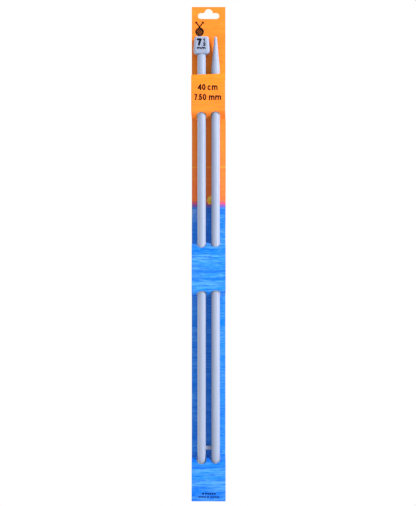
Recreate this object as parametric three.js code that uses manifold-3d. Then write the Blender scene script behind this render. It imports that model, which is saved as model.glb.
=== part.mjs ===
// A pair of straight knitting needles, packed head to tail in a slit hang card.
// Millimetres. +Z is up, +X is to the right and -Y is towards the person looking at the front.
// The origin is where a display peg carries the card: the top of the hang slot's hump.
import * as THREE from "three";
import { mergeVertices } from "three/addons/utils/BufferGeometryUtils.js";
import Module from "manifold-3d";

// Needles
const NEEDLE_LENGTH = 400;
const SHAFT_RADIUS = 3.75;
const SHAFT_SPACING = 12.5;
const TAPER_LENGTH = 33;
const TAPER_BLEND = 9;
const TIP_RADIUS = 1.2;
const SPIGOT_RADIUS = 2.5;
const SPIGOT_LENGTH = 12;
const HEAD_HEIGHT = 15.4;
const HEAD_HALF_DEPTH = 4.5;

// Card
const CARD_WIDTH = 30.2;
const CARD_LENGTH = 441.9;
const CARD_THICKNESS = 0.5;
const SLEEVE_THICKNESS = 0.45;
const CARD_CORNER = 0.5;

// Hang slot, as depths below the card's top edge
const SLOT_WIDTH = 19.2;
const SLOT_TOP = 5.5;
const SLOT_BOTTOM = 10.8;
const HUMP_TOP = 1.9;
const HUMP_RADIUS = 3.7;
const HUMP_FILLET = 0.8;

// Places along the card, as depths below its top edge
const MOUTH = 62.4;
const LEFT_NEEDLE_TOP = 28.4;
const RIGHT_NEEDLE_TOP = 27.8;
const RAMP_LENGTH = 7;
const BAND_1_END = 95.2;
const BAND_2_START = 216.8;
const BAND_2_END = 254.1;
const BAND_3_START = 409.2;
const SPACER_MIDDLE = 395.7;

// Clearances and slits
const GAP = 0.3;
const SLIT_HALF_WIDTH = 4.1;
const SLIT_ARCH = 2.6;
const SLIT_SETBACK = 0.5;
const TONGUE_HALF_WIDTH = 3.75;
const SPACER_HEIGHT = 3.3;
const SPACER_HALF_WIDTH = 4.2;
const SPACER_SETBACK = 1;

// Worked out from the above
const SHAFT_X = SHAFT_SPACING / 2;
const CARD_TOP_Z = HUMP_TOP;
const SLEEVE_BACK_Y = -GAP;
const SLEEVE_REAR_Y = SLEEVE_BACK_Y - SLEEVE_THICKNESS / 2;
const SHAFT_Y = SLEEVE_BACK_Y - HEAD_HALF_DEPTH;
const BAND_Y = SHAFT_Y - HEAD_HALF_DEPTH - GAP - SLEEVE_THICKNESS / 2;
const RAMPS = [
  { front: BAND_1_END, rear: BAND_1_END + RAMP_LENGTH },
  { front: BAND_2_START, rear: BAND_2_START - RAMP_LENGTH },
  { front: BAND_2_END, rear: BAND_2_END + RAMP_LENGTH },
  { front: BAND_3_START, rear: BAND_3_START - RAMP_LENGTH },
];

const ROUND_STEPS = 32;
const RAMP_STEPS = 10;
const ARCH_STEPS = 10;

const wasm = await Module();
wasm.setup();

const plastic = new THREE.MeshStandardMaterial({ color: 0x9ea8c0, roughness: 0.38, metalness: 0 });
const headPlastic = new THREE.MeshStandardMaterial({ color: 0x98a2ba, roughness: 0.42, metalness: 0 });
const spacerPlastic = new THREE.MeshStandardMaterial({ color: 0x929cb4, roughness: 0.45, metalness: 0 });
const frontBoard = new THREE.MeshStandardMaterial({ color: 0x2085f2, roughness: 0.35, metalness: 0 });
const backBoard = new THREE.MeshStandardMaterial({ color: 0xf8822c, roughness: 0.4, metalness: 0 });

// The height of a place that lies a given depth below the card's top edge.
function heightOf(depth) {
  return CARD_TOP_Z - depth;
}

// A closed geometry as a manifold-3d solid.
function solidOf(geometry) {
  const bare = geometry.index ? geometry.toNonIndexed() : geometry.clone();
  bare.deleteAttribute("normal");
  bare.deleteAttribute("uv");
  const merged = mergeVertices(bare, 1e-4);
  const vertProperties = merged.attributes.position.array;
  const triVerts = new Uint32Array(merged.index.array);
  return new wasm.Manifold(new wasm.Mesh({ numProp: 3, vertProperties, triVerts }));
}

// A manifold-3d solid as a geometry that a mesh can draw.
function geometryOf(solid) {
  const mesh = solid.getMesh();
  const geometry = new THREE.BufferGeometry();
  geometry.setAttribute("position", new THREE.BufferAttribute(mesh.vertProperties, 3));
  geometry.setIndex(new THREE.BufferAttribute(mesh.triVerts, 1));
  geometry.computeVertexNormals();
  return geometry;
}

// An outline drawn in X and Z, extruded along Y between two faces.
function platedAlongY(shape, frontY, backY) {
  const geometry = new THREE.ExtrudeGeometry(shape, {
    depth: backY - frontY,
    bevelEnabled: false,
    curveSegments: ARCH_STEPS,
  });
  geometry.rotateX(Math.PI / 2);
  geometry.translate(0, backY, 0);
  return geometry;
}

// An outline drawn in Y and Z, extruded along X and centred on it.
function extrudedAlongX(shape, width) {
  const geometry = new THREE.ExtrudeGeometry(shape, { depth: width, bevelEnabled: false });
  const turn = new THREE.Matrix4().makeBasis(
    new THREE.Vector3(0, 1, 0),
    new THREE.Vector3(0, 0, 1),
    new THREE.Vector3(1, 0, 0),
  );
  geometry.applyMatrix4(turn);
  geometry.translate(-width / 2, 0, 0);
  return geometry;
}

// A round bar that stands on z = 0.
function uprightCylinder(radius, height) {
  const geometry = new THREE.CylinderGeometry(radius, radius, height, ROUND_STEPS);
  geometry.rotateX(Math.PI / 2);
  geometry.translate(0, 0, height / 2);
  return geometry;
}

// The hang slot: a round-ended slot with a round hump over its middle, blended in by two fillets.
function hangSlotOutline() {
  const end = (SLOT_BOTTOM - SLOT_TOP) / 2;
  const middleZ = heightOf((SLOT_TOP + SLOT_BOTTOM) / 2);
  const straight = SLOT_WIDTH / 2 - end;
  const topZ = heightOf(SLOT_TOP);
  const humpZ = heightOf(HUMP_TOP + HUMP_RADIUS);
  const filletZ = topZ + HUMP_FILLET;
  const filletX = Math.sqrt((HUMP_RADIUS + HUMP_FILLET) ** 2 - (filletZ - humpZ) ** 2);
  const lift = Math.atan2(filletZ - humpZ, filletX);
  const down = -Math.PI / 2;
  const slot = new THREE.Path();
  slot.moveTo(-straight, middleZ - end);
  slot.lineTo(straight, middleZ - end);
  slot.absarc(straight, middleZ, end, down, -down, false);
  slot.absarc(filletX, filletZ, HUMP_FILLET, down, lift - Math.PI, true);
  slot.absarc(0, humpZ, HUMP_RADIUS, lift, Math.PI - lift, false);
  slot.absarc(-filletX, filletZ, HUMP_FILLET, -lift, down, true);
  slot.absarc(-straight, middleZ, end, -down, -3 * down, false);
  return slot;
}

// The back panel: a flat board with two rounded top corners and the hang slot.
function backCard() {
  const half = CARD_WIDTH / 2;
  const topZ = heightOf(0);
  const bottomZ = heightOf(CARD_LENGTH);
  const shape = new THREE.Shape();
  shape.moveTo(-half, bottomZ);
  shape.lineTo(half, bottomZ);
  shape.absarc(half - CARD_CORNER, topZ - CARD_CORNER, CARD_CORNER, 0, Math.PI / 2, false);
  shape.absarc(CARD_CORNER - half, topZ - CARD_CORNER, CARD_CORNER, Math.PI / 2, Math.PI, false);
  shape.holes.push(hangSlotOutline());
  return solidOf(platedAlongY(shape, 0, CARD_THICKNESS));
}

// The sleeve's middle line seen from the side, from its mouth to the card's bottom edge.
function sleeveLine() {
  const line = [new THREE.Vector2(BAND_Y, heightOf(MOUTH))];
  RAMPS.forEach(({ front, rear }) => {
    const downwards = rear > front;
    const start = downwards ? front : rear;
    for (let i = 0; i <= RAMP_STEPS; i += 1) {
      const t = i / RAMP_STEPS;
      const ease = (1 - Math.cos(Math.PI * t)) / 2;
      const share = downwards ? ease : 1 - ease;
      const y = BAND_Y + (SLEEVE_REAR_Y - BAND_Y) * share;
      line.push(new THREE.Vector2(y, heightOf(start + RAMP_LENGTH * t)));
    }
  });
  line.push(new THREE.Vector2(BAND_Y, heightOf(CARD_LENGTH)));
  return line;
}

// One side of a sheet of even thickness that follows a line.
function besideLine(line, offset) {
  return line.map((point, i) => {
    const before = line[Math.max(i - 1, 0)];
    const after = line[Math.min(i + 1, line.length - 1)];
    const along = after.clone().sub(before).normalize();
    return new THREE.Vector2(point.x + along.y * offset, point.y - along.x * offset);
  });
}

// A slit or tongue outline: straight sides from the rear of a ramp, and an elliptical arch at the front.
function archOutline(x, rearDepth, archDepth, halfWidth) {
  const rearZ = heightOf(rearDepth);
  const archZ = heightOf(archDepth);
  const way = Math.sign(archZ - rearZ);
  const springZ = archZ - way * SLIT_ARCH;
  const shape = new THREE.Shape();
  shape.moveTo(x - halfWidth, rearZ);
  shape.lineTo(x + halfWidth, rearZ);
  shape.lineTo(x + halfWidth, springZ);
  shape.absellipse(x, springZ, halfWidth, SLIT_ARCH, 0, Math.PI * way, way < 0, 0);
  return shape;
}

// The front ply: a bent sheet, slit where each needle passes through a ramp,
// with the tongue from each slit left lying flat behind the needle.
function frontSleeve() {
  const line = sleeveLine();
  const outline = besideLine(line, SLEEVE_THICKNESS / 2);
  outline.push(...besideLine(line, -SLEEVE_THICKNESS / 2).reverse());
  let sleeve = solidOf(extrudedAlongX(new THREE.Shape(outline), CARD_WIDTH));
  const rearFaceY = SLEEVE_BACK_Y - SLEEVE_THICKNESS;
  const slitFrontY = BAND_Y - SLEEVE_THICKNESS * 2;
  const slitBackY = rearFaceY - GAP / 2;
  RAMPS.forEach(({ front, rear }) => {
    const way = Math.sign(rear - front);
    [-SHAFT_X, SHAFT_X].forEach((x) => {
      const archDepth = front + way * SLIT_SETBACK;
      const slit = archOutline(x, rear + way, archDepth, SLIT_HALF_WIDTH);
      sleeve = sleeve.subtract(solidOf(platedAlongY(slit, slitFrontY, slitBackY)));
      const tongue = archOutline(x, rear + way, archDepth + way * SLIT_SETBACK, TONGUE_HALF_WIDTH);
      sleeve = sleeve.add(solidOf(platedAlongY(tongue, rearFaceY, SLEEVE_BACK_Y)));
    });
  });
  return sleeve;
}

// The shaft's radius a given distance from its point: a round tip, then a cone that blends into the shaft.
function taperRadius(distance) {
  if (distance < TIP_RADIUS) return Math.sqrt(TIP_RADIUS ** 2 - (TIP_RADIUS - distance) ** 2);
  const coneLength = TAPER_LENGTH - TAPER_BLEND / 2 - TIP_RADIUS;
  const slope = (SHAFT_RADIUS - TIP_RADIUS) / coneLength;
  const left = TAPER_LENGTH - distance;
  if (left > TAPER_BLEND) return TIP_RADIUS + slope * (distance - TIP_RADIUS);
  return SHAFT_RADIUS - (slope * left ** 2) / (2 * TAPER_BLEND);
}

// A shaft with its point at z = 0 and its spigot at the top.
function needleShaft() {
  const shoulder = NEEDLE_LENGTH - HEAD_HEIGHT - GAP;
  const distances = [0, 0.1, 0.4, 0.8, TIP_RADIUS, 12, 24, 25.5, 27.5, 30, TAPER_LENGTH];
  const profile = distances.map((d) => new THREE.Vector2(taperRadius(d), d));
  profile[0].x = 0;
  profile.push(new THREE.Vector2(SHAFT_RADIUS, shoulder));
  profile.push(new THREE.Vector2(SPIGOT_RADIUS, shoulder));
  profile.push(new THREE.Vector2(SPIGOT_RADIUS, shoulder + SPIGOT_LENGTH));
  profile.push(new THREE.Vector2(0, shoulder + SPIGOT_LENGTH));
  const geometry = new THREE.LatheGeometry(profile, ROUND_STEPS);
  geometry.rotateX(Math.PI / 2);
  return solidOf(geometry);
}

// One level of the head: a rectangle with its four upright edges cut off.
function chamferedRing(z, halfWidth, halfDepth, cut) {
  const corners = [
    [halfWidth, halfDepth - cut],
    [halfWidth - cut, halfDepth],
    [cut - halfWidth, halfDepth],
    [-halfWidth, halfDepth - cut],
    [-halfWidth, cut - halfDepth],
    [cut - halfWidth, -halfDepth],
    [halfWidth - cut, -halfDepth],
    [halfWidth, cut - halfDepth],
  ];
  return corners.map(([x, y]) => new THREE.Vector3(x, y, z));
}

// A closed solid through a stack of rings, with a flat face on each end ring.
function loft(rings) {
  const count = rings[0].length;
  const points = rings.flat();
  const faces = [];
  for (let r = 0; r + 1 < rings.length; r += 1) {
    for (let i = 0; i < count; i += 1) {
      const j = (i + 1) % count;
      const low = r * count;
      const high = low + count;
      faces.push(low + i, low + j, high + j);
      faces.push(low + i, high + j, high + i);
    }
  }
  const top = (rings.length - 1) * count;
  for (let i = 1; i + 1 < count; i += 1) {
    faces.push(0, i + 1, i);
    faces.push(top, top + i, top + i + 1);
  }
  const geometry = new THREE.BufferGeometry().setFromPoints(points);
  geometry.setIndex(faces);
  return geometry;
}

// A head with its neck at z = 0, wider towards the neck, and a blind socket for the spigot.
function needleHead() {
  const body = loft([
    chamferedRing(0, 4.9, 3.9, 1.5),
    chamferedRing(0.9, 6.3, 4.2, 1.7),
    chamferedRing(2, 7, 4.4, 1.9),
    chamferedRing(3.3, 7.2, HEAD_HALF_DEPTH, 2),
    chamferedRing(13.8, 6.4, HEAD_HALF_DEPTH, 1.9),
    chamferedRing(14.9, 6, 4.25, 1.7),
    chamferedRing(HEAD_HEIGHT, 5, 3.7, 1.4),
  ]);
  const socket = uprightCylinder(SPIGOT_RADIUS + GAP, SPIGOT_LENGTH + 1);
  socket.translate(0, 0, -1);
  return solidOf(body).subtract(solidOf(socket));
}

// The bridge between the shafts, hollowed on both sides to cup them.
function needleSpacer() {
  const shape = new THREE.Shape();
  const low = heightOf(SPACER_MIDDLE + SPACER_HEIGHT / 2);
  const high = heightOf(SPACER_MIDDLE - SPACER_HEIGHT / 2);
  shape.moveTo(-SPACER_HALF_WIDTH, low);
  shape.lineTo(SPACER_HALF_WIDTH, low);
  shape.lineTo(SPACER_HALF_WIDTH, high);
  shape.lineTo(-SPACER_HALF_WIDTH, high);
  const backY = SLEEVE_BACK_Y - SLEEVE_THICKNESS - GAP;
  let spacer = solidOf(platedAlongY(shape, SHAFT_Y + SPACER_SETBACK, backY));
  [-SHAFT_X, SHAFT_X].forEach((x) => {
    const cup = uprightCylinder(SHAFT_RADIUS + GAP, SPACER_HEIGHT * 3);
    cup.translate(x, SHAFT_Y, low - SPACER_HEIGHT);
    spacer = spacer.subtract(solidOf(cup));
  });
  return spacer;
}

function named(name, solid, material) {
  const mesh = new THREE.Mesh(geometryOf(solid), material);
  mesh.name = name;
  return mesh;
}

// One needle, standing on its point at the group's origin.
function needle(side) {
  const group = new THREE.Group();
  const shaft = named(side + "_needle_shaft", needleShaft(), plastic);
  const head = named(side + "_needle_head", needleHead(), headPlastic);
  head.position.z = NEEDLE_LENGTH - HEAD_HEIGHT;
  group.add(shaft, head);
  return group;
}

const pack = new THREE.Group();
pack.add(named("back_card", backCard(), backBoard));
pack.add(named("front_sleeve", frontSleeve(), frontBoard));
pack.add(named("needle_spacer", needleSpacer(), spacerPlastic));

const leftNeedle = needle("left");
leftNeedle.position.set(-SHAFT_X, SHAFT_Y, heightOf(LEFT_NEEDLE_TOP + NEEDLE_LENGTH));
pack.add(leftNeedle);

const rightNeedle = needle("right");
rightNeedle.rotation.y = Math.PI;
rightNeedle.position.set(SHAFT_X, SHAFT_Y, heightOf(RIGHT_NEEDLE_TOP));
pack.add(rightNeedle);

export default pack;
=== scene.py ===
import math

import bmesh
import bpy
import numpy as np
from mathutils import Matrix, Vector
from mathutils.geometry import delaunay_2d_cdt


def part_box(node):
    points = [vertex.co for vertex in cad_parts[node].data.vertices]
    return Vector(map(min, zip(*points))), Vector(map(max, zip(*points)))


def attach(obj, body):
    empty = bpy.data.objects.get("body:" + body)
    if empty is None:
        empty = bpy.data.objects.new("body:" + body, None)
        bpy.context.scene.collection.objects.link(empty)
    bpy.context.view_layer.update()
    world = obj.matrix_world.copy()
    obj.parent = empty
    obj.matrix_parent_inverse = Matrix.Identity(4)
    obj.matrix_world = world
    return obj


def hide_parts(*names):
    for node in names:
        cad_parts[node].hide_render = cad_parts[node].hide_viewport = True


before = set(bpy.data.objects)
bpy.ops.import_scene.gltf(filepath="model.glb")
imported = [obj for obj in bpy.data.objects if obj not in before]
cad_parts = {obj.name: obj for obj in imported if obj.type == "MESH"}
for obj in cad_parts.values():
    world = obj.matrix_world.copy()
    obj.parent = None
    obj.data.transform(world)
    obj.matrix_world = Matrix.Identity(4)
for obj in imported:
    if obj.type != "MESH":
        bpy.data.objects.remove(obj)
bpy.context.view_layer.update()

# ---------------------------------------------------------------- sizes that the CAD model shares

SLEEVE_THICKNESS = 0.45
RAMP_LENGTH = 7.0
RAMP_FRONTS = (95.2, 216.8, 254.1, 409.2)   # depth below the card's top where each ramp is at the front
RAMP_WAYS = (1, -1, 1, -1)                  # 1 where the ramp falls back downwards, -1 where upwards
SLIT_HALF_WIDTH = 4.1
SLIT_ARCH = 2.6
SLIT_SETBACK = 0.5
TONGUE_HALF_WIDTH = 3.75
CARD_CORNER = 0.5
SLOT_WIDTH = 19.2
SLOT_TOP = 5.5
SLOT_BOTTOM = 10.8
HUMP_TOP = 1.9
HUMP_RADIUS = 3.7
HUMP_FILLET = 0.8
NEEDLE_LENGTH = 400.0
SHAFT_RADIUS = 3.75
TAPER_LENGTH = 33.0
TAPER_BLEND = 9.0
TIP_RADIUS = 1.2
SPIGOT_RADIUS = 2.5
SPIGOT_LENGTH = 12.0
HEAD_HEIGHT = 15.4
HEAD_HALF_DEPTH = 4.5
GAP = 0.3

# ---------------------------------------------------------------- places, from the frame

TO_MM = 1000.0


def mm(value):
    return value / TO_MM


card_low, card_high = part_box("back_card")
sleeve_low, sleeve_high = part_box("front_sleeve")
left_low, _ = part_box("left_needle_shaft")
right_low, right_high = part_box("right_needle_shaft")
spacer_low, spacer_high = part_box("needle_spacer")

CARD_HALF = card_high.x * TO_MM
CARD_LENGTH = (card_high.z - card_low.z) * TO_MM
CARD_THICKNESS = (card_high.y - card_low.y) * TO_MM
CARD_MIDDLE_Y = (card_high.y + card_low.y) / 2 * TO_MM
MOUTH = (card_high.z - sleeve_high.z) * TO_MM
SLEEVE_FRONT_Y = sleeve_low.y * TO_MM
BAND_Y = SLEEVE_FRONT_Y + SLEEVE_THICKNESS / 2
REAR_Y = sleeve_high.y * TO_MM - SLEEVE_THICKNESS / 2
SHAFT_X = (right_low.x + right_high.x) / 2 * TO_MM
SHAFT_Y = (right_low.y + right_high.y) / 2 * TO_MM
TO_METRES = Matrix.Scale(1 / TO_MM, 4)


def at_depth(x, y, depth):
    """A point in metres, from X and Y in millimetres and the depth below the card's top edge."""
    return Vector((mm(x), mm(y), card_high.z - mm(depth)))


# ---------------------------------------------------------------- mesh helpers

SMOOTH_ANGLE = 35.0         # degrees between faces, above which an edge is sharp
BOARD_SMOOTH_ANGLE = 40.0


def make_object(name, bm, body, materials, replaced=()):
    """Turns a bmesh into a piece that rides on a body."""
    mesh = bpy.data.meshes.new(name)
    bm.to_mesh(mesh)
    bm.free()
    for material in materials:
        mesh.materials.append(material)
    piece = bpy.data.objects.new(name, mesh)
    bpy.context.scene.collection.objects.link(piece)
    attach(piece, body)
    if replaced:
        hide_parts(*replaced)
    return piece


def smooth_by_angle(bm, degrees):
    """Smooth faces, with a sharp edge wherever two of them meet at more than the angle."""
    limit = math.radians(degrees)
    for face in bm.faces:
        face.smooth = True
    for edge in bm.edges:
        edge.smooth = len(edge.link_faces) == 2 and edge.calc_face_angle(0) < limit


def inside(points, loop):
    """Which of the 2-D points lie inside a closed loop."""
    found = np.zeros(len(points), bool)
    x, y = points[:, 0], points[:, 1]
    for (ax, ay), (bx, by) in zip(loop, loop[1:] + loop[:1]):
        if ay != by:
            crosses = (ay > y) != (by > y)
            found ^= crosses & (x < (bx - ax) * (y - ay) / (by - ay) + ax)
    return found


def inside_any(points, loops):
    """Which of the 2-D points lie inside at least one of the loops."""
    found = np.zeros(len(points), bool)
    for loop in loops:
        found |= inside(points, loop)
    return found


def clearance(points, loop):
    """How far each 2-D point is from the nearest side of a closed loop."""
    best = np.full(len(points), np.inf)
    for a, b in zip(loop, loop[1:] + loop[:1]):
        start = np.array(a)
        along = np.array(b) - start
        share = np.clip((points - start) @ along / max(along @ along, 1e-12), 0, 1)
        best = np.minimum(best, np.linalg.norm(points - start - share[:, None] * along, axis=1))
    return best


def triangles(loops, extra=()):
    """Triangles over the plane whose edges follow the loops: points, faces and each face's middle."""
    points = []
    edges = []
    for loop in loops:
        start = len(points)
        points += [Vector(p) for p in loop]
        edges += [(start + i, start + (i + 1) % len(loop)) for i in range(len(loop))]
    points += [Vector(p) for p in extra]
    verts, _, faces, *_ = delaunay_2d_cdt(points, edges, [], 0, 1e-6)
    flat = np.array([tuple(v) for v in verts])
    middles = np.array([flat[list(f)].mean(axis=0) for f in faces])
    return flat, faces, middles


def fill_flat(outline, cuts, columns, rows, margin):
    """Triangles that fill a flat outline with cuts in it. Inner points come from columns and rows."""
    grid = np.array([(x, depth) for depth in rows for x in columns])
    keep = inside(grid, outline) & ~inside_any(grid, cuts)
    for loop in (outline, *cuts):
        keep &= clearance(grid, loop) > margin
    flat, faces, middles = triangles([outline, *cuts], grid[keep])
    good = inside(middles, outline) & ~inside_any(middles, cuts)
    return flat, [f for f, ok in zip(faces, good) if ok]


def board(points, faces, thickness):
    """A board of even thickness round a sheet of points in metres, with its front towards -Y.

    Faces get material 0 in front, 1 behind and 2 on the cut edges."""
    middle = bmesh.new()
    for point in points:
        middle.verts.new(point)
    middle.verts.ensure_lookup_table()
    middle.verts.index_update()
    for f in faces:
        middle.faces.new([middle.verts[i] for i in f])
    for face in middle.faces:
        face.normal_update()
        if face.normal.y > 0:
            face.normal_flip()
    middle.normal_update()
    bm = bmesh.new()
    half = mm(thickness / 2)
    front = [bm.verts.new(v.co + v.normal * half) for v in middle.verts]
    back = [bm.verts.new(v.co - v.normal * half) for v in middle.verts]
    for face in middle.faces:
        ring = [v.index for v in face.verts]
        bm.faces.new([front[i] for i in ring])
        bm.faces.new([back[i] for i in reversed(ring)]).material_index = 1
    for edge in middle.edges:
        if len(edge.link_loops) == 1:
            loop = edge.link_loops[0]
            a = loop.vert.index
            b = loop.link_loop_next.vert.index
            bm.faces.new((front[b], front[a], back[a], back[b])).material_index = 2
    loose = [v for v in bm.verts if not v.link_faces]
    bmesh.ops.delete(bm, geom=loose, context="VERTS")
    middle.free()
    smooth_by_angle(bm, BOARD_SMOOTH_ANGLE)
    return bm


def loft(rings):
    """A closed solid through rings with the same number of points, with a fan over each end."""
    bm = bmesh.new()
    rows = [[bm.verts.new(p) for p in ring] for ring in rings]
    count = len(rows[0])
    for low, high in zip(rows, rows[1:]):
        for i in range(count):
            j = (i + 1) % count
            bm.faces.new((low[i], low[j], high[j], high[i]))
    for row, turned in ((rows[0], True), (rows[-1], False)):
        centre = bm.verts.new(sum((v.co for v in row), Vector()) / count)
        for i in range(count):
            j = (i + 1) % count
            pair = (row[j], row[i]) if turned else (row[i], row[j])
            bm.faces.new((*pair, centre))
    return bm


def arc(cx, cy, radius, start, end, steps):
    """Points along an arc, in degrees, both ends included."""
    turn = [math.radians(start + (end - start) * i / steps) for i in range(steps + 1)]
    return [(cx + radius * math.cos(a), cy + radius * math.sin(a)) for a in turn]


def oval(cx, cy, rx, ry, start, end, steps):
    """Points along part of an upright oval, in degrees, both ends included."""
    return [(cx + x * rx, cy + y * ry) for x, y in arc(0, 0, 1, start, end, steps)]


def spread(low, high, step):
    """Evenly spaced values from low to high, no further apart than step."""
    count = max(1, math.ceil((high - low) / step))
    return [low + (high - low) * i / count for i in range(count + 1)]


# ---------------------------------------------------------------- node helpers


def srgb(red, green, blue):
    """A colour seen as 0 to 255 values, in the linear values that a shader takes."""
    parts = [c / 255 for c in (red, green, blue)]
    return (*[c / 12.92 if c <= 0.04045 else ((c + 0.055) / 1.055) ** 2.4 for c in parts], 1.0)


def add(tree, kind, inputs=None, **settings):
    """A new node, with its settings made and its inputs linked or set."""
    node = tree.nodes.new(kind)
    for name, value in settings.items():
        setattr(node, name, value)
    for name, value in (inputs or {}).items():
        if isinstance(value, bpy.types.NodeSocket):
            tree.links.new(value, node.inputs[name])
        else:
            node.inputs[name].default_value = value
    return node


def calc(tree, operation, a, b=0.0, clamp=False):
    return add(tree, "ShaderNodeMath", {0: a, 1: b}, operation=operation, use_clamp=clamp).outputs[0]


def mix_colour(tree, share, a, b):
    return add(tree, "ShaderNodeMix", {0: share, 6: a, 7: b}, data_type="RGBA").outputs[2]


def ramp(tree, share, stops):
    """A colour ramp from (place, colour) stops."""
    node = add(tree, "ShaderNodeValToRGB", {0: share})
    elements = node.color_ramp.elements
    while len(elements) < len(stops):
        elements.new(0.5)
    for element, (place, colour) in zip(elements, stops):
        element.position = place
        element.color = colour
    return node.outputs[0]


def one_minus(tree, value):
    return calc(tree, "SUBTRACT", 1.0, value)


def step_at(tree, value, edge, width):
    """0 below the edge and 1 above it, with a short blend of the given width."""
    shifted = calc(tree, "SUBTRACT", value, edge)
    scaled = calc(tree, "DIVIDE", shifted, width)
    return calc(tree, "ADD", scaled, 0.5, clamp=True)


def stretched_noise(tree, scale, detail=3.0, rough=0.55):
    """Noise with its own scale per millimetre along X, Y and Z."""
    place = add(tree, "ShaderNodeTexCoord").outputs["Object"]
    per_metre = Vector(scale) * TO_MM
    mapped = add(tree, "ShaderNodeMapping", {"Vector": place, "Scale": per_metre}).outputs[0]
    inputs = {"Vector": mapped, "Scale": 1.0, "Detail": detail, "Roughness": rough}
    return add(tree, "ShaderNodeTexNoise", inputs).outputs[0]


def brushed(tree, base, colour, share, noise, edge, width):
    """A colour laid over the base where the noise is past an edge, at most as strong as the share."""
    cover = step_at(tree, noise, edge, width)
    return mix_colour(tree, calc(tree, "MULTIPLY", cover, share), base, colour)


def bump(tree, shader, surface, height):
    """Bump from a 0 to 1 surface, its height in millimetres."""
    inputs = {"Height": surface, "Distance": mm(height), "Strength": 1.0}
    node = add(tree, "ShaderNodeBump", inputs)
    tree.links.new(node.outputs[0], shader.inputs["Normal"])


def new_material(name, roughness, specular):
    """A material, with its node tree and the shader that it starts with."""
    material = bpy.data.materials.new(name)
    material.use_nodes = True
    tree = material.node_tree
    shader = tree.nodes["Principled BSDF"]
    shader.inputs["Roughness"].default_value = roughness
    shader.inputs["Specular IOR Level"].default_value = specular
    return material, tree, shader


# ---------------------------------------------------------------- materials

# The picture on the board. Depths are below the card's top, and X is to the right of its middle.
HORIZON = 180.1
SUN_X = 3.2
SUN_DEPTH = 174.2
SUN_RADIUS = 4.5
PINK_LIFT = 0.7                 # the far hills' feet above the horizon
PINK_HEIGHT = 9.0
PURPLE_DROP = 1.6               # the near hills' feet below it
PURPLE_HEIGHT = 8.0
STROKE_WAVER = 1.0
STROKE_EDGE = 1.2
CLOUD_STROKE = (144.2, 0.3)     # depth and half width
# Depths and half widths of darker bands drawn across the sea. The third lies on the ramp at the third
# band's top and darkens the sea there.
SEA_STROKES = ((237.5, 1.1), (244.2, 0.8), (404.6, 2.4), (411.6, 0.9))
HAZE_X = -9.0
HAZE_TOP = 182.2
HAZE_FOOT = 191.0
PRINT_OVERLAP = 4.0             # how far the back panel's print runs on below the sleeve's mouth

PRINT_SPECULAR = 0.08
BOARD_SPECULAR = 0.25
PLASTIC_SPECULAR = 0.18
INK_SPECULAR = 0.1
INK_ROUGHNESS = 0.5
GLOSS_SPREAD = (-0.03, 0.04)    # how the plastic's roughness varies
SUBSURFACE_WEIGHT = 0.3
SUBSURFACE_RADIUS = (1.2, 1.4, 2.0)
LINER_COLOUR = (206, 204, 198)
FLECK_COLOUR = (132, 122, 110)


def level_stroke(tree, base, depth, line, share, colour):
    """One long brush stroke along a line of given depth and half width, with a wavering middle."""
    middle, half = line
    waver = stretched_noise(tree, (0.1, 0, 0), 2.0)
    lowered = calc(tree, "ADD", depth, calc(tree, "MULTIPLY", waver, STROKE_WAVER * 2))
    away = calc(tree, "ABSOLUTE", calc(tree, "SUBTRACT", lowered, middle + STROKE_WAVER))
    cover = one_minus(tree, step_at(tree, away, half, STROKE_EDGE))
    return mix_colour(tree, calc(tree, "MULTIPLY", cover, share), base, colour)


def sky_colour(tree, depth, x):
    """Orange sky, warmer towards the horizon, with a sun disc and two ragged strips of far hills."""
    share = calc(tree, "DIVIDE", depth, HORIZON)
    sky = ramp(tree, share, [
        (0.00, srgb(248, 130, 44)),
        (0.25, srgb(248, 127, 42)),
        (0.35, srgb(250, 139, 38)),
        (0.45, srgb(249, 130, 46)),
        (0.70, srgb(248, 129, 52)),
        (0.86, srgb(247, 123, 64)),
        (1.00, srgb(247, 114, 68)),
    ])
    pale = stretched_noise(tree, (0.05, 0.05, 0.35))
    sky = brushed(tree, sky, srgb(252, 152, 52), 0.4, pale, 0.56, 0.24)
    deep = stretched_noise(tree, (0.08, 0.05, 0.9))
    sky = brushed(tree, sky, srgb(236, 104, 34), 0.32, deep, 0.58, 0.2)
    streaks = stretched_noise(tree, (0.12, 0.05, 1.5), 4.0, 0.7)
    sky = brushed(tree, sky, srgb(254, 162, 52), 0.35, streaks, 0.6, 0.12)
    sky = level_stroke(tree, sky, depth, CLOUD_STROKE, 0.7, srgb(254, 190, 60))
    hills = calc(tree, "MULTIPLY", stretched_noise(tree, (0.45, 0, 0), 4.0, 0.8), PINK_HEIGHT)
    pink_edge = calc(tree, "SUBTRACT", HORIZON - PINK_LIFT, hills)
    sky = mix_colour(tree, step_at(tree, depth, pink_edge, 0.5), sky, srgb(216, 90, 122))
    across = calc(tree, "POWER", calc(tree, "SUBTRACT", x, SUN_X), 2.0)
    below = calc(tree, "SUBTRACT", depth, SUN_DEPTH)
    reach = calc(tree, "SQRT", calc(tree, "ADD", across, calc(tree, "POWER", below, 2.0)))
    disc = one_minus(tree, step_at(tree, reach, SUN_RADIUS, 0.3))
    sun = mix_colour(tree, step_at(tree, below, 0.0, 3.0), srgb(252, 208, 96), srgb(252, 196, 50))
    sky = mix_colour(tree, disc, sky, sun)
    peaks = calc(tree, "MULTIPLY", stretched_noise(tree, (0.7, 0, 0), 3.0, 0.8), PURPLE_HEIGHT)
    purple_edge = calc(tree, "SUBTRACT", HORIZON + PURPLE_DROP, peaks)
    return mix_colour(tree, step_at(tree, depth, purple_edge, 0.4), sky, srgb(136, 96, 186))


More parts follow.
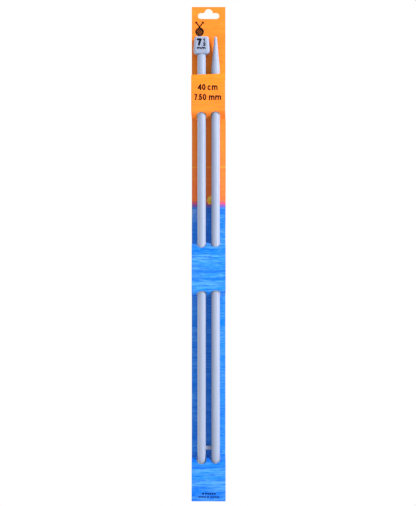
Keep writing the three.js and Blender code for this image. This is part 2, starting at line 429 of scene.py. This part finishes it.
def sea_colour(tree, depth, x):
    """Blue sea in level brush strokes, darker under the horizon and at the foot."""
    share = calc(tree, "DIVIDE", depth, CARD_LENGTH)
    base = ramp(tree, share, [
        (0.405, srgb(6, 90, 208)),
        (0.435, srgb(20, 124, 240)),
        (0.60, srgb(26, 133, 244)),
        (0.84, srgb(23, 128, 242)),
        (0.95, srgb(33, 133, 242)),
        (1.00, srgb(15, 106, 224)),
    ])
    reaches = stretched_noise(tree, (0.02, 0.02, 0.07), 2.0)
    deeper = one_minus(tree, step_at(tree, reaches, 0.5, 0.2))
    base = mix_colour(tree, calc(tree, "MULTIPLY", deeper, 0.45), base, srgb(10, 108, 226))
    swell = step_at(tree, stretched_noise(tree, (0.03, 0.03, 0.13), 2.0), 0.46, 0.3)
    strokes = step_at(tree, stretched_noise(tree, (0.06, 0.03, 0.8), 5.0, 0.7), 0.5, 0.22)
    light = calc(tree, "MULTIPLY", calc(tree, "MULTIPLY", strokes, swell), 0.9)
    sea = mix_colour(tree, light, base, srgb(94, 168, 248))
    dark_strokes = stretched_noise(tree, (0.08, 0.06, 0.95), 4.0, 0.7)
    sea = brushed(tree, sea, srgb(6, 92, 216), 0.8, dark_strokes, 0.56, 0.14)
    for line in SEA_STROKES:
        sea = level_stroke(tree, sea, depth, line, 0.65, srgb(6, 102, 224))
    foam = stretched_noise(tree, (0.16, 0.05, 1.7), 3.0, 0.6)
    sea = brushed(tree, sea, srgb(112, 182, 250), 0.5, foam, 0.64, 0.1)
    leftwards = one_minus(tree, step_at(tree, x, HAZE_X, 5.0))
    below_top = step_at(tree, depth, HAZE_TOP, 1.2)
    above_foot = one_minus(tree, step_at(tree, depth, HAZE_FOOT, 12.0))
    height = calc(tree, "MULTIPLY", below_top, above_foot)
    puffs = step_at(tree, stretched_noise(tree, (0.4, 0.1, 0.5), 4.0, 0.7), 0.46, 0.2)
    haze = calc(tree, "MULTIPLY", calc(tree, "MULTIPLY", leftwards, height), puffs)
    return mix_colour(tree, calc(tree, "MULTIPLY", haze, 0.7), sea, srgb(136, 180, 240))


def sunset_print(name, roughness, bare_below=None):
    """Coated board printed with a plain sunset over a sea, left bare below a depth if one is given."""
    material, tree, shader = new_material(name, roughness, PRINT_SPECULAR)
    place = add(tree, "ShaderNodeTexCoord").outputs["Object"]
    parts = add(tree, "ShaderNodeSeparateXYZ", {0: place}).outputs
    x = calc(tree, "MULTIPLY", parts[0], TO_MM)
    depth = calc(tree, "MULTIPLY", calc(tree, "SUBTRACT", card_high.z, parts[2]), TO_MM)
    colour = sky_colour(tree, depth, x)
    if bare_below:
        colour = mix_colour(tree, step_at(tree, depth, bare_below, 0.2), colour, srgb(*LINER_COLOUR))
    else:
        sea = sea_colour(tree, depth, x)
        colour = mix_colour(tree, step_at(tree, depth, HORIZON, 0.3), colour, sea)
    tree.links.new(colour, shader.inputs["Base Color"])
    bump(tree, shader, stretched_noise(tree, (2.2, 2.2, 1.1), 4.0, 0.6), 0.006)
    return material


def plain_board(name, colour, shade, roughness):
    """Uncoated board: short fibres lying mostly along the card, with darker flecks."""
    material, tree, shader = new_material(name, roughness, BOARD_SPECULAR)
    fibres = stretched_noise(tree, (2.6, 2.6, 0.7), 5.0, 0.65)
    flecks = stretched_noise(tree, (1.6, 1.6, 1.2), 2.0)
    mixed = mix_colour(tree, fibres, shade, colour)
    mixed = brushed(tree, mixed, srgb(*FLECK_COLOUR), 0.25, flecks, 0.68, 0.08)
    tree.links.new(mixed, shader.inputs["Base Color"])
    bump(tree, shader, fibres, 0.02)
    return material


def needle_plastic(name, colour, shade, grain, roughness, height):
    """Grey-blue plastic. The grain scale says whether it is drawn lengthways or moulded."""
    material, tree, shader = new_material(name, roughness, PLASTIC_SPECULAR)
    cloud = stretched_noise(tree, (0.06, 0.06, 0.02), 2.0)
    tinted = mix_colour(tree, step_at(tree, cloud, 0.5, 0.5), shade, colour)
    tree.links.new(tinted, shader.inputs["Base Color"])
    surface = stretched_noise(tree, grain, 4.0, 0.6)
    low, high = (roughness + change for change in GLOSS_SPREAD)
    gloss = add(tree, "ShaderNodeMapRange", {0: surface, 1: 0.3, 2: 0.7, 3: low, 4: high}).outputs[0]
    tree.links.new(gloss, shader.inputs["Roughness"])
    shader.inputs["Subsurface Weight"].default_value = SUBSURFACE_WEIGHT
    shader.inputs["Subsurface Radius"].default_value = [mm(reach) for reach in SUBSURFACE_RADIUS]
    shader.inputs["Subsurface Scale"].default_value = 1.0
    bump(tree, shader, surface, height)
    return material


def ink(name, colour, thin_colour):
    """Printing ink that lies a little unevenly."""
    material, tree, shader = new_material(name, INK_ROUGHNESS, INK_SPECULAR)
    cover = step_at(tree, stretched_noise(tree, (1.4, 1.4, 1.4), 3.0), 0.62, 0.3)
    tree.links.new(mix_colour(tree, cover, colour, thin_colour), shader.inputs["Base Color"])
    return material


def floor_paint():
    """A pale floor, mottled a little."""
    material, tree, shader = new_material("pale_floor", 0.8, 0.2)
    patches = stretched_noise(tree, (0.01, 0.01, 0.01), 2.0)
    colour = mix_colour(tree, patches, srgb(226, 226, 224), srgb(236, 236, 235))
    tree.links.new(colour, shader.inputs["Base Color"])
    return material


SLEEVE_PRINT = sunset_print("sleeve_print", 0.42)
HEADER_PRINT = sunset_print("header_print", 0.45, bare_below=MOUTH + PRINT_OVERLAP)
LINER = plain_board("board_liner", srgb(*LINER_COLOUR), srgb(188, 184, 176), 0.8)
CORE = plain_board("board_core", srgb(214, 206, 192), srgb(192, 180, 164), 0.9)
SHAFT_PLASTIC = needle_plastic(
    "shaft_plastic", srgb(158, 168, 192), srgb(151, 162, 187), (1.6, 1.6, 0.05), 0.3, 0.0012)
HEAD_PLASTIC = needle_plastic(
    "head_plastic", srgb(154, 164, 188), srgb(148, 159, 184), (2.4, 2.4, 2.4), 0.42, 0.008)
SPACER_PLASTIC = needle_plastic(
    "spacer_plastic", srgb(155, 165, 190), srgb(149, 160, 186), (2.0, 2.0, 2.0), 0.45, 0.01)
BLACK_INK = ink("black_ink", srgb(3, 2, 6), srgb(8, 5, 12))
HEAD_INK = ink("blue_black_ink", srgb(5, 4, 32), srgb(9, 7, 50))
BROWN_INK = ink("brown_ink", srgb(16, 2, 6), srgb(26, 6, 8))
NAVY_INK = ink("navy_ink", srgb(8, 18, 66), srgb(14, 34, 104))


# ---------------------------------------------------------------- card


def hang_slot_loop():
    """The hang slot's edge: a round-ended slot with a filleted hump over its middle, in X and depth."""
    end = (SLOT_BOTTOM - SLOT_TOP) / 2
    middle = (SLOT_TOP + SLOT_BOTTOM) / 2
    straight = SLOT_WIDTH / 2 - end
    hump = HUMP_TOP + HUMP_RADIUS
    fillet = SLOT_TOP - HUMP_FILLET
    fillet_x = math.sqrt((HUMP_RADIUS + HUMP_FILLET) ** 2 - (hump - fillet) ** 2)
    lift = math.degrees(math.atan2(hump - fillet, fillet_x))
    loop = arc(straight, middle, end, 90, -90, 16)
    loop += arc(fillet_x, fillet, HUMP_FILLET, 90, 180 - lift, 6)
    loop += arc(0, hump, HUMP_RADIUS, -lift, lift - 180, 30)
    loop += arc(-fillet_x, fillet, HUMP_FILLET, lift, 90, 6)
    loop += arc(-straight, middle, end, 270, 90, 16)
    return loop


BACK_WARP = 0.05            # how far the back panel's long edges lie behind its middle
BACK_GRID = (2.0, 3.0)      # steps across and along the panel
BACK_MARGIN = 0.5           # how far the inner points keep from the panel's edges


def back_card():
    """The back panel, with a trace of the warp that board takes on."""
    corner_x = CARD_HALF - CARD_CORNER
    outline = [(-CARD_HALF, CARD_LENGTH), (CARD_HALF, CARD_LENGTH)]
    outline += arc(corner_x, CARD_CORNER, CARD_CORNER, 0, -90, 6)
    outline += arc(-corner_x, CARD_CORNER, CARD_CORNER, -90, -180, 6)
    columns = spread(-CARD_HALF, CARD_HALF, BACK_GRID[0])
    rows = spread(0, CARD_LENGTH, BACK_GRID[1])
    flat, faces = fill_flat(outline, [hang_slot_loop()], columns, rows, BACK_MARGIN)
    points = []
    for x, depth in flat:
        warp = BACK_WARP * (x / CARD_HALF) ** 2
        points.append(at_depth(x, CARD_MIDDLE_Y + warp, depth))
    bm = board(points, faces, CARD_THICKNESS)
    make_object("back_card_board", bm, "card", [HEADER_PRINT, LINER, CORE], ["back_card"])


def arch_line(x, front, way, setback, half_width):
    """A slit's edge: a leg, an elliptical arch at the ramp's front and the other leg."""
    top = front + way * setback
    spring = top + way * SLIT_ARCH
    rear = front + way * RAMP_LENGTH
    arch = oval(x, spring, half_width, -way * SLIT_ARCH, 180, 0, 28)
    return [(x - half_width, rear), *arch, (x + half_width, rear)]


SLITS = [(x, front, way) for front, way in zip(RAMP_FRONTS, RAMP_WAYS) for x in (-SHAFT_X, SHAFT_X)]


def slit_loop(x, front, way):
    """The narrow cut round a tongue."""
    outer = arch_line(x, front, way, SLIT_SETBACK, SLIT_HALF_WIDTH)
    inner = arch_line(x, front, way, SLIT_SETBACK * 2, TONGUE_HALF_WIDTH)
    return outer + inner[::-1]


def tongue_loop(x, front, way):
    """The tongue that a slit leaves, out to the middle of the slit."""
    return arch_line(x, front, way, SLIT_SETBACK * 1.5, (SLIT_HALF_WIDTH + TONGUE_HALF_WIDTH) / 2)


def ramp_share(depth):
    """0 where the sleeve stands in front of the needles, and 1 where it lies behind them."""
    share = np.zeros(len(depth))
    for front, way in zip(RAMP_FRONTS, RAMP_WAYS):
        t = np.clip((depth - front) / (way * RAMP_LENGTH), 0, 1)
        begins = front if way > 0 else front - RAMP_LENGTH
        share = np.where(depth > begins, (1 - np.cos(math.pi * t)) / 2, share)
    return share


EDGE_CURL = 0.16            # how far a band's long edges curl back
CUT_SKEW = 0.045            # how far the die cuts fall to the left, for each millimetre across
SKEW_FADE = 20.0            # the length over which the skew dies out above the foot
SLEEVE_GRID = (1.2, 3.0)    # steps across and along the flat sleeve
FOLD_STEP = 0.4             # the step along it where it bends
SLEEVE_MARGIN = 0.16
# How far the sleeve lies to the right, at depths down the card.
SIDE_SLIP = ((0, -0.45), (95, -0.45), (104, 0.3), (150, 0.3), (214, 0.0), (CARD_LENGTH, 0.0))


def band_curl(x):
    """How far back a band's front lies, a given distance from the card's middle."""
    return EDGE_CURL * (x / CARD_HALF) ** 4


def sleeve_points(flat):
    """Where the flat sleeve's points lie once it is bent over the needles and stuck a little askew."""
    x, depth = flat[:, 0], flat[:, 1]
    share = ramp_share(depth)
    share[inside_any(flat, [tongue_loop(*slit) for slit in SLITS])] = 1
    y = BAND_Y + (REAR_Y - BAND_Y) * share + band_curl(x) * (1 - share)
    slip = np.interp(depth, *zip(*SIDE_SLIP))
    skew = -x * CUT_SKEW * np.clip((CARD_LENGTH - depth) / SKEW_FADE, 0, 1)
    return [at_depth(*point) for point in zip(x + slip, y, depth + skew)]


def front_sleeve():
    """The front ply: it bends over the needles in the bands and lies on the back panel between them."""
    columns = spread(-CARD_HALF, CARD_HALF, SLEEVE_GRID[0])
    rows = spread(MOUTH, CARD_LENGTH, SLEEVE_GRID[1])
    for front, way in zip(RAMP_FRONTS, RAMP_WAYS):
        ends = sorted((front - way, front + way * (RAMP_LENGTH + 1)))
        rows += spread(*ends, FOLD_STEP)
    rows = sorted(set(rows))
    outline = [(CARD_HALF, depth) for depth in rows] + [(-CARD_HALF, depth) for depth in reversed(rows)]
    cuts = [slit_loop(*slit) for slit in SLITS]
    flat, faces = fill_flat(outline, cuts, columns, rows, SLEEVE_MARGIN)
    bm = board(sleeve_points(flat), faces, SLEEVE_THICKNESS)
    materials = [SLEEVE_PRINT, LINER, CORE]
    make_object("front_sleeve_board", bm, "card", materials, ["front_sleeve"])


# ---------------------------------------------------------------- needles


def taper_radius(distance):
    """The shaft's radius a given distance from its point: a round tip, then a cone that blends out."""
    if distance < TIP_RADIUS:
        return math.sqrt(TIP_RADIUS ** 2 - (TIP_RADIUS - distance) ** 2)
    slope = (SHAFT_RADIUS - TIP_RADIUS) / (TAPER_LENGTH - TAPER_BLEND / 2 - TIP_RADIUS)
    left = TAPER_LENGTH - distance
    if left > TAPER_BLEND:
        return TIP_RADIUS + slope * (distance - TIP_RADIUS)
    return SHAFT_RADIUS - slope * left ** 2 / (2 * TAPER_BLEND)


SEAM_HEIGHT = 0.02
ROUND = 128                 # points round a shaft or head
SHOULDER_BEVEL = 0.15
SPIGOT_BEVEL = 0.4
SOCKET_BEVEL = 0.15


def round_ring(radius, z, seam=0.0):
    """A ring of points, with a low moulding seam on its left and right."""
    ring = []
    for i in range(ROUND):
        turn = math.tau * i / ROUND
        reach = radius + (seam if i % (ROUND // 2) == 0 else 0.0)
        ring.append((reach * math.cos(turn), reach * math.sin(turn), z))
    return ring


def shaft_rings():
    """A shaft with its point at z = 0 and its spigot at the top, in millimetres."""
    shoulder = NEEDLE_LENGTH - HEAD_HEIGHT - GAP
    tip = [TIP_RADIUS * (1 - math.cos(math.radians(a))) for a in range(6, 91, 7)]
    taper = spread(TIP_RADIUS + 0.3, TAPER_LENGTH, 1.0)
    body = spread(TAPER_LENGTH, shoulder - SHOULDER_BEVEL, 12.0)[1:]
    rings = [round_ring(taper_radius(d), d) for d in tip]
    rings += [round_ring(taper_radius(d), d, SEAM_HEIGHT) for d in taper]
    rings += [round_ring(SHAFT_RADIUS, d, SEAM_HEIGHT) for d in body]
    rings.append(round_ring(SHAFT_RADIUS - SHOULDER_BEVEL, shoulder))
    rings.append(round_ring(SPIGOT_RADIUS, shoulder))
    rings.append(round_ring(SPIGOT_RADIUS, shoulder + SPIGOT_LENGTH - SPIGOT_BEVEL))
    rings.append(round_ring(SPIGOT_RADIUS - SPIGOT_BEVEL, shoulder + SPIGOT_LENGTH))
    return rings


HEAD_LEVELS = [
    # height above the neck, half width, half depth, corner radius
    (0.0, 4.6, 3.6, 1.9), (0.1, 4.95, 3.75, 2.0), (0.45, 5.65, 3.92, 2.1), (0.9, 6.3, 4.08, 2.2),
    (1.4, 6.7, 4.22, 2.3), (2.0, 7.0, 4.35, 2.3), (2.6, 7.14, 4.44, 2.3), (3.3, 7.2, 4.49, 2.3),
    (4.0, 7.16, 4.5, 2.3), (13.3, 6.43, 4.5, 2.1), (13.9, 6.34, 4.46, 2.0), (14.5, 6.14, 4.34, 1.9),
    (15.0, 5.8, 4.14, 1.8), (15.28, 5.45, 3.92, 1.7), (15.4, 4.9, 3.6, 1.6),
    # then the dimple that the moulding gate leaves in the end
    (15.4, 1.1, 1.1, 1.1), (15.28, 0.95, 0.95, 0.95),
]


def head_ring(z, half_width, half_depth, corner):
    """A rectangle with round corners, each quarter holding the same number of points."""
    quarter = ROUND // 4
    ring = []
    for side in range(4):
        cx = (half_width - corner) * (1 if side in (0, 3) else -1)
        cy = (half_depth - corner) * (1 if side in (0, 1) else -1)
        for i in range(quarter):
            turn = math.radians(90 * side + 90 * i / (quarter - 1))
            ring.append((cx + corner * math.cos(turn), cy + corner * math.sin(turn), z))
    return ring


def head_rings():
    """A head with its neck at z = 0: the socket's wall down to the neck, then the outside."""
    bore = SPIGOT_RADIUS + GAP
    rings = [round_ring(bore, SPIGOT_LENGTH - GAP)]
    rings.append(round_ring(bore, SOCKET_BEVEL))
    rings.append(round_ring(bore + SOCKET_BEVEL, 0.0))
    rings += [head_ring(*level) for level in HEAD_LEVELS]
    return rings


def needle_frame(side):
    """Where a needle's own millimetres go: the left one points down, the right one up."""
    if side == "left":
        return Matrix.Translation((mm(-SHAFT_X), mm(SHAFT_Y), left_low.z)) @ TO_METRES
    turned = Matrix.Rotation(math.pi, 4, "Y")
    return Matrix.Translation((mm(SHAFT_X), mm(SHAFT_Y), right_high.z)) @ turned @ TO_METRES


def needle(side):
    """One needle: shaft, head and the size mark on the head's face."""
    body = side + "_needle"
    to_shaft = needle_frame(side)
    to_head = to_shaft @ Matrix.Translation((0, 0, NEEDLE_LENGTH - HEAD_HEIGHT))
    shaft = loft(shaft_rings())
    shaft.transform(to_shaft)
    smooth_by_angle(shaft, SMOOTH_ANGLE)
    make_object(side + "_shaft", shaft, body, [SHAFT_PLASTIC], [body + "_shaft"])
    head = loft(head_rings())
    head.transform(to_head)
    smooth_by_angle(head, SMOOTH_ANGLE)
    make_object(side + "_head", head, body, [HEAD_PLASTIC], [body + "_head"])
    mark = plate(head_mark_loops())
    mark.transform(to_head @ Matrix.Translation((0, -HEAD_HALF_DEPTH, 0)))
    make_object(side + "_head_size_mark", mark, body, [HEAD_INK])


# ---------------------------------------------------------------- printed marks

INK_HEIGHT = 0.02

# A glyph, its left, right, low and high edges above the head's neck, and its weight.
HEAD_SEVEN = ("7", -4.2, 0.1, 6.7, 13.4, 1.9)
HEAD_ONE = ("1", 1.2, 3.1, 10.8, 13.4, 0.9)
HEAD_TWO = ("2", 1.2, 3.6, 6.6, 9.8, 0.95)
HEAD_UNITS = (("m", -4.2, -0.5, 3.7, 5.8, 0.85), ("m", -0.2, 3.5, 3.7, 5.8, 0.85))
HALF_BAR = ((1.6, 10.25), (3.3, 10.35))
HALF_BAR_WEIGHT = 0.4

BAND_WEIGHT = 1.16
BAND_FIGURE_HEIGHT = 5.5
BAND_SMALL_HEIGHTS = {"c": 4.35, "m": 4.35, ".": 1.508}
BAND_ROWS = [
    # depth of the row's foot, and each glyph with its left and right edges
    (76.65, [("4", -9.9, -6.1), ("0", -5.9, -2.7), ("c", -1.1, 2.2), ("m", 2.8, 8.0)]),
    (85.55, [("7", -12.7, -10.0), (".", -9.7, -8.7), ("5", -8.7, -5.8), ("0", -5.3, -2.0),
             ("m", 0.2, 5.3), ("m", 5.8, 11.2)]),
]

EMBLEM_X = -8.1
EMBLEM_DEPTH = 22.4
BALL_RADIUS = 3.9
THREAD = 1.1
THREAD_CENTRE = (5.4, 215)      # the arcs' centre: how far from the ball's centre, and which way
THREAD_RADII = (2.4, 3.7, 5.0, 6.3, 7.6)
EMBLEM_NEEDLE = ((-0.9, 3.4), (3.0, 8.3))
EMBLEM_NEEDLE_WEIGHT = 1.0
EMBLEM_HEAD = ((2.7, 8.7), (3.5, 8.1))
EMBLEM_HEAD_WEIGHT = 1.3

DASH_GAP = 0.45
WORD_GAP = 0.9
FOOT_ROWS = [
    # left end, depth of the dashes' foot, their height, and each word's dash lengths
    (-5.9, 435.9, 1.5, [(1.9,), (1.5, 1.5, 1.5, 1.5, 1.5)]),
    (-9.0, 438.6, 1.1, [(2.0, 2.1, 1.6), (2.0,), (1.6, 1.5, 1.7, 1.6)]),
]


def stroke(points, width):
    """The loops of a pen stroke: a strip along each part and a disc at each point."""
    half = width / 2
    loops = [arc(x, z, half, 0, 330, 11) for x, z in points]
    for (ax, az), (bx, bz) in zip(points, points[1:]):
        along = Vector((bx - ax, bz - az)).normalized() * half
        side = (-along.y, along.x)
        loops.append([
            (ax + side[0], az + side[1]), (ax - side[0], az - side[1]),
            (bx - side[0], bz - side[1]), (bx + side[0], bz + side[1]),
        ])
    return loops


def plate(loops):
    """One thin plate of ink over all the loops together, facing -Y, in millimetres."""
    flat, faces, middles = triangles(loops)
    good = inside_any(middles, loops)
    bm = bmesh.new()
    front = [bm.verts.new((x, -INK_HEIGHT, z)) for x, z in flat]
    back = [bm.verts.new((x, INK_HEIGHT, z)) for x, z in flat]
    place = {v: i for i, v in enumerate(front)}
    fronts = [bm.faces.new([front[i] for i in f]) for f, ok in zip(faces, good) if ok]
    rims = [edge for edge in bm.edges if len(edge.link_faces) == 1]
    for face in fronts:
        bm.faces.new([back[place[v]] for v in reversed(face.verts)])
    for edge in rims:
        a, b = (place[v] for v in edge.verts)
        bm.faces.new((front[a], front[b], back[b], back[a]))
    loose = [v for v in bm.verts if not v.link_faces]
    bmesh.ops.delete(bm, geom=loose, context="VERTS")
    bmesh.ops.recalc_face_normals(bm, faces=bm.faces)
    return bm


def arches(count):
    """The strokes of an n or m, in a unit box: a stem and one or two arches with legs."""
    lines = [[(0, 0), (0, 1)]]
    for i in range(count):
        left = i / count
        line = oval(left + 0.5 / count, 0.62, 0.5 / count, 0.38, 180, 0, 10)
        lines.append([*line, (left + 1 / count, 0)])
    return lines


# Plain upright figures and unit letters, as strokes in a unit box.
GLYPHS = {
    "0": [oval(0.5, 0.5, 0.5, 0.5, 0, 360, 28)],
    "1": [[(0.15, 0.76), (0.8, 1), (0.8, 0)]],
    "2": [[*oval(0.5, 0.72, 0.46, 0.28, 165, -35, 14), (0.04, 0), (1, 0)]],
    "4": [[(0.78, 0), (0.78, 1), (0, 0.26), (1, 0.26)]],
    "5": [[(0.9, 1), (0.2, 1), (0.08, 0.5), *oval(0.48, 0.33, 0.5, 0.33, 130, -155, 18)]],
    "7": [[(0, 1), (1, 1), (0.62, 0.5), (0.36, 0)]],
    "c": [oval(0.52, 0.5, 0.5, 0.5, 48, 312, 20)],
    "m": arches(2),
    ".": [[(0.5, 0), (0.5, 0.06)]],
}


def glyph(name, left, right, low, high, weight):
    """A glyph's loops, its ink filling the given box."""
    half = weight / 2
    width = right - left - weight
    height = high - low - weight
    loops = []
    for line in GLYPHS[name]:
        loops += stroke([(left + half + x * width, low + half + z * height) for x, z in line], weight)
    return loops


def head_mark_loops():
    """The size on a head's face: 7, a half in small figures, and mm below."""
    loops = glyph(*HEAD_SEVEN)
    loops += glyph(*HEAD_ONE)
    loops += stroke(HALF_BAR, HALF_BAR_WEIGHT)
    loops += glyph(*HEAD_TWO)
    for unit in HEAD_UNITS:
        loops += glyph(*unit)
    return loops


def sleeve_ink(name, loops, material):
    """Ink on the front of the sleeve's bands. The loops are in X and height above the card's top."""
    bm = plate(loops)
    for vert in bm.verts:
        vert.co.y += SLEEVE_FRONT_Y + band_curl(vert.co.x)
    bm.transform(Matrix.Translation((0, 0, card_high.z)) @ TO_METRES)
    make_object(name, bm, "card", [material])


def size_marks():
    """The size in plain figures on the top band."""
    loops = []
    for depth, glyphs in BAND_ROWS:
        for name, left, right in glyphs:
            height = BAND_SMALL_HEIGHTS.get(name, BAND_FIGURE_HEIGHT)
            loops += glyph(name, left, right, -depth, height - depth, BAND_WEIGHT)
    sleeve_ink("band_size_marks", loops, BROWN_INK)


def emblem_threads():
    """Arcs of thread across the ball, bowed round a point outside it."""
    away, facing = THREAD_CENTRE
    cx = away * math.cos(math.radians(facing))
    cz = away * math.sin(math.radians(facing))
    rim = BALL_RADIUS - THREAD / 2
    loops = []
    for radius in THREAD_RADII:
        swing = math.degrees(math.acos((away ** 2 + radius ** 2 - rim ** 2) / (2 * away * radius)))
        loops += stroke(arc(cx, cz, radius, facing + 180 - swing, facing + 180 + swing, 18), THREAD)
    return loops


def emblem():
    """A plain pictogram on the header: a ball of yarn with two needles crossed behind it."""
    loops = stroke(arc(0, 0, BALL_RADIUS - THREAD / 2, 0, 360, 60), THREAD)
    loops += emblem_threads()
    for way in (-1, 1):
        loops += stroke([(way * x, z) for x, z in EMBLEM_NEEDLE], EMBLEM_NEEDLE_WEIGHT)
        loops += stroke([(way * x, z) for x, z in EMBLEM_HEAD], EMBLEM_HEAD_WEIGHT)
    bm = plate(loops)
    place = at_depth(EMBLEM_X, card_low.y * TO_MM, EMBLEM_DEPTH)
    bm.transform(Matrix.Translation(place) @ TO_METRES)
    make_object("header_emblem", bm, "card", [BLACK_INK])


def dash_loops(start, depth, height, words):
    """A row of plain dashes, in words of given dash lengths."""
    low = -depth
    loops = []
    x = start
    for word in words:
        for length in word:
            loops.append([(x, low), (x + length, low), (x + length, low + height), (x, low + height)])
            x += length + DASH_GAP
        x += WORD_GAP - DASH_GAP
    return loops


def foot_lines():
    """Rows of plain dashes where small print would be."""
    loops = []
    for row in FOOT_ROWS:
        loops += dash_loops(*row)
    sleeve_ink("foot_print_lines", loops, NAVY_INK)


# ---------------------------------------------------------------- spacer

SPACER_BEVEL = 0.28
SPACER_SHARP = 40.0     # degrees between faces, above which an edge is bevelled


def spacer():
    """The bridge between the shafts: hollow sides that cup them, and soft edges."""
    cup = SHAFT_RADIUS + GAP
    half = spacer_high.x * TO_MM
    front = spacer_low.y * TO_MM - SHAFT_Y
    back = spacer_high.y * TO_MM - SHAFT_Y
    start = math.degrees(math.asin(math.sqrt(cup ** 2 - (SHAFT_X - half) ** 2) / cup))
    end = math.degrees(math.asin(front / cup))
    right = [(half, back)]
    right += [(SHAFT_X - dx, dy) for dx, dy in arc(0, 0, cup, start, end, 20)]
    outline = right + [(-x, y) for x, y in reversed(right)]
    bm = bmesh.new()
    ring = [bm.verts.new((mm(x), mm(SHAFT_Y + y), spacer_low.z)) for x, y in outline]
    base = bm.faces.new(ring)
    made = bmesh.ops.extrude_face_region(bm, geom=[base])
    top = [v for v in made["geom"] if isinstance(v, bmesh.types.BMVert)]
    bmesh.ops.translate(bm, verts=top, vec=(0, 0, spacer_high.z - spacer_low.z))
    bmesh.ops.recalc_face_normals(bm, faces=bm.faces)
    sharp = [e for e in bm.edges if e.calc_face_angle(0) > math.radians(SPACER_SHARP)]
    bmesh.ops.bevel(bm, geom=sharp, offset=mm(SPACER_BEVEL), segments=3, profile=0.5, affect="EDGES")
    smooth_by_angle(bm, SMOOTH_ANGLE)
    make_object("needle_spacer_bridge", bm, "card", [SPACER_PLASTIC], ["needle_spacer"])


# ---------------------------------------------------------------- camera, light and floor

CAMERA_DISTANCE = 0.8
FIELD_HEIGHT = 0.4551   # what the picture's height takes in at the card
SENSOR = 36.0
CAMERA_LEFT = 0.54      # millimetres left of the card's middle
CAMERA_UP = -0.35       # millimetres above the card's middle
CAMERA_REACH = 20.0     # metres that the camera sees to
CARD_MIDDLE_Z = (card_low.z + card_high.z) / 2
KEY_FROM = (0.78, -0.62)
KEY_DISTANCE = 1.2
KEY_UP = 0.60           # metres above the card's middle
KEY_WIDTH = 0.22
KEY_LENGTH = 1.6
KEY_WATTS = 28.0
FILL_STRENGTH = 0.62    # the white surround in front of the card
BACK_STRENGTH = 0.95    # behind it, where it stands for a lit white sheet
SIDE_STRENGTH = 1.8     # what a white reflector on the left adds
SIDE_FOCUS = 8.0        # how narrow the reflector is
FLOOR_DROP = 0.46
FLOOR_RADII = (0.05, 0.2, 0.4, 0.55, 0.6)
FLOOR_SIDES = 120


def place_in_scene(thing):
    bpy.context.scene.collection.objects.link(thing)


def camera():
    """The camera, level and square to the card's front."""
    data = bpy.data.cameras.new("camera")
    data.sensor_width = SENSOR
    data.sensor_fit = "AUTO"
    data.lens = SENSOR * CAMERA_DISTANCE / FIELD_HEIGHT
    data.clip_end = CAMERA_REACH
    eye = bpy.data.objects.new("camera", data)
    eye.location = (mm(-CAMERA_LEFT), -CAMERA_DISTANCE, CARD_MIDDLE_Z + mm(CAMERA_UP))
    eye.rotation_euler = (math.pi / 2, 0, 0)
    place_in_scene(eye)
    bpy.context.scene.camera = eye


def key_light():
    """A tall, narrow soft box on the right and in front, upright beside the card."""
    data = bpy.data.lights.new("key", "AREA")
    data.shape = "RECTANGLE"
    data.size = KEY_WIDTH
    data.size_y = KEY_LENGTH
    data.energy = KEY_WATTS
    lamp = bpy.data.objects.new("key", data)
    towards = Vector((*KEY_FROM, 0))
    lamp.location = towards * KEY_DISTANCE + Vector((0, 0, CARD_MIDDLE_Z + KEY_UP))
    lamp.rotation_euler = towards.to_track_quat("Z", "Y").to_euler()
    lamp.visible_camera = False
    place_in_scene(lamp)


def surround():
    """A white surround: even to the camera; as fill light, brighter behind the card and on its left."""
    world = bpy.data.worlds.new("surround")
    bpy.context.scene.world = world
    world.use_nodes = True
    tree = world.node_tree
    tree.nodes.clear()
    seen = add(tree, "ShaderNodeBackground", {0: (1, 1, 1, 1), 1: 1.0}).outputs[0]
    way = add(tree, "ShaderNodeTexCoord").outputs["Generated"]
    parts = add(tree, "ShaderNodeSeparateXYZ", {0: way}).outputs
    behind = calc(tree, "MULTIPLY", step_at(tree, parts[1], 0.0, 0.2), BACK_STRENGTH - FILL_STRENGTH)
    leftwards = calc(tree, "MAXIMUM", calc(tree, "MULTIPLY", parts[0], -1.0), 0.0)
    side = calc(tree, "MULTIPLY", calc(tree, "POWER", leftwards, SIDE_FOCUS), SIDE_STRENGTH)
    strength = calc(tree, "ADD", calc(tree, "ADD", behind, side), FILL_STRENGTH)
    fill = add(tree, "ShaderNodeBackground", {0: (1, 1, 1, 1), 1: strength}).outputs[0]
    direct = add(tree, "ShaderNodeLightPath").outputs["Is Camera Ray"]
    both = add(tree, "ShaderNodeMixShader", {0: direct, 1: fill, 2: seen}).outputs[0]
    add(tree, "ShaderNodeOutputWorld", {0: both})
    bpy.context.scene.view_settings.view_transform = "Standard"


def floor():
    """A round pale floor, far enough below the card for a needle to be drawn out over it."""
    bm = bmesh.new()
    level = card_low.z - FLOOR_DROP
    rings = []
    turn = 360 - 360 / FLOOR_SIDES
    for radius in FLOOR_RADII:
        circle = arc(0, 0, radius, 0, turn, FLOOR_SIDES - 1)
        rings.append([bm.verts.new((x, y, level)) for x, y in circle])
    bm.faces.new(rings[0])
    for low, high in zip(rings, rings[1:]):
        for i in range(FLOOR_SIDES):
            j = (i + 1) % FLOOR_SIDES
            bm.faces.new((low[i], high[i], high[j], low[j]))
    mesh = bpy.data.meshes.new("floor")
    bm.to_mesh(mesh)
    bm.free()
    mesh.materials.append(floor_paint())
    ground = bpy.data.objects.new("floor", mesh)
    place_in_scene(ground)


camera()
key_light()
surround()
floor()
back_card()
front_sleeve()
spacer()
needle("left")
needle("right")
emblem()
size_marks()
foot_lines()
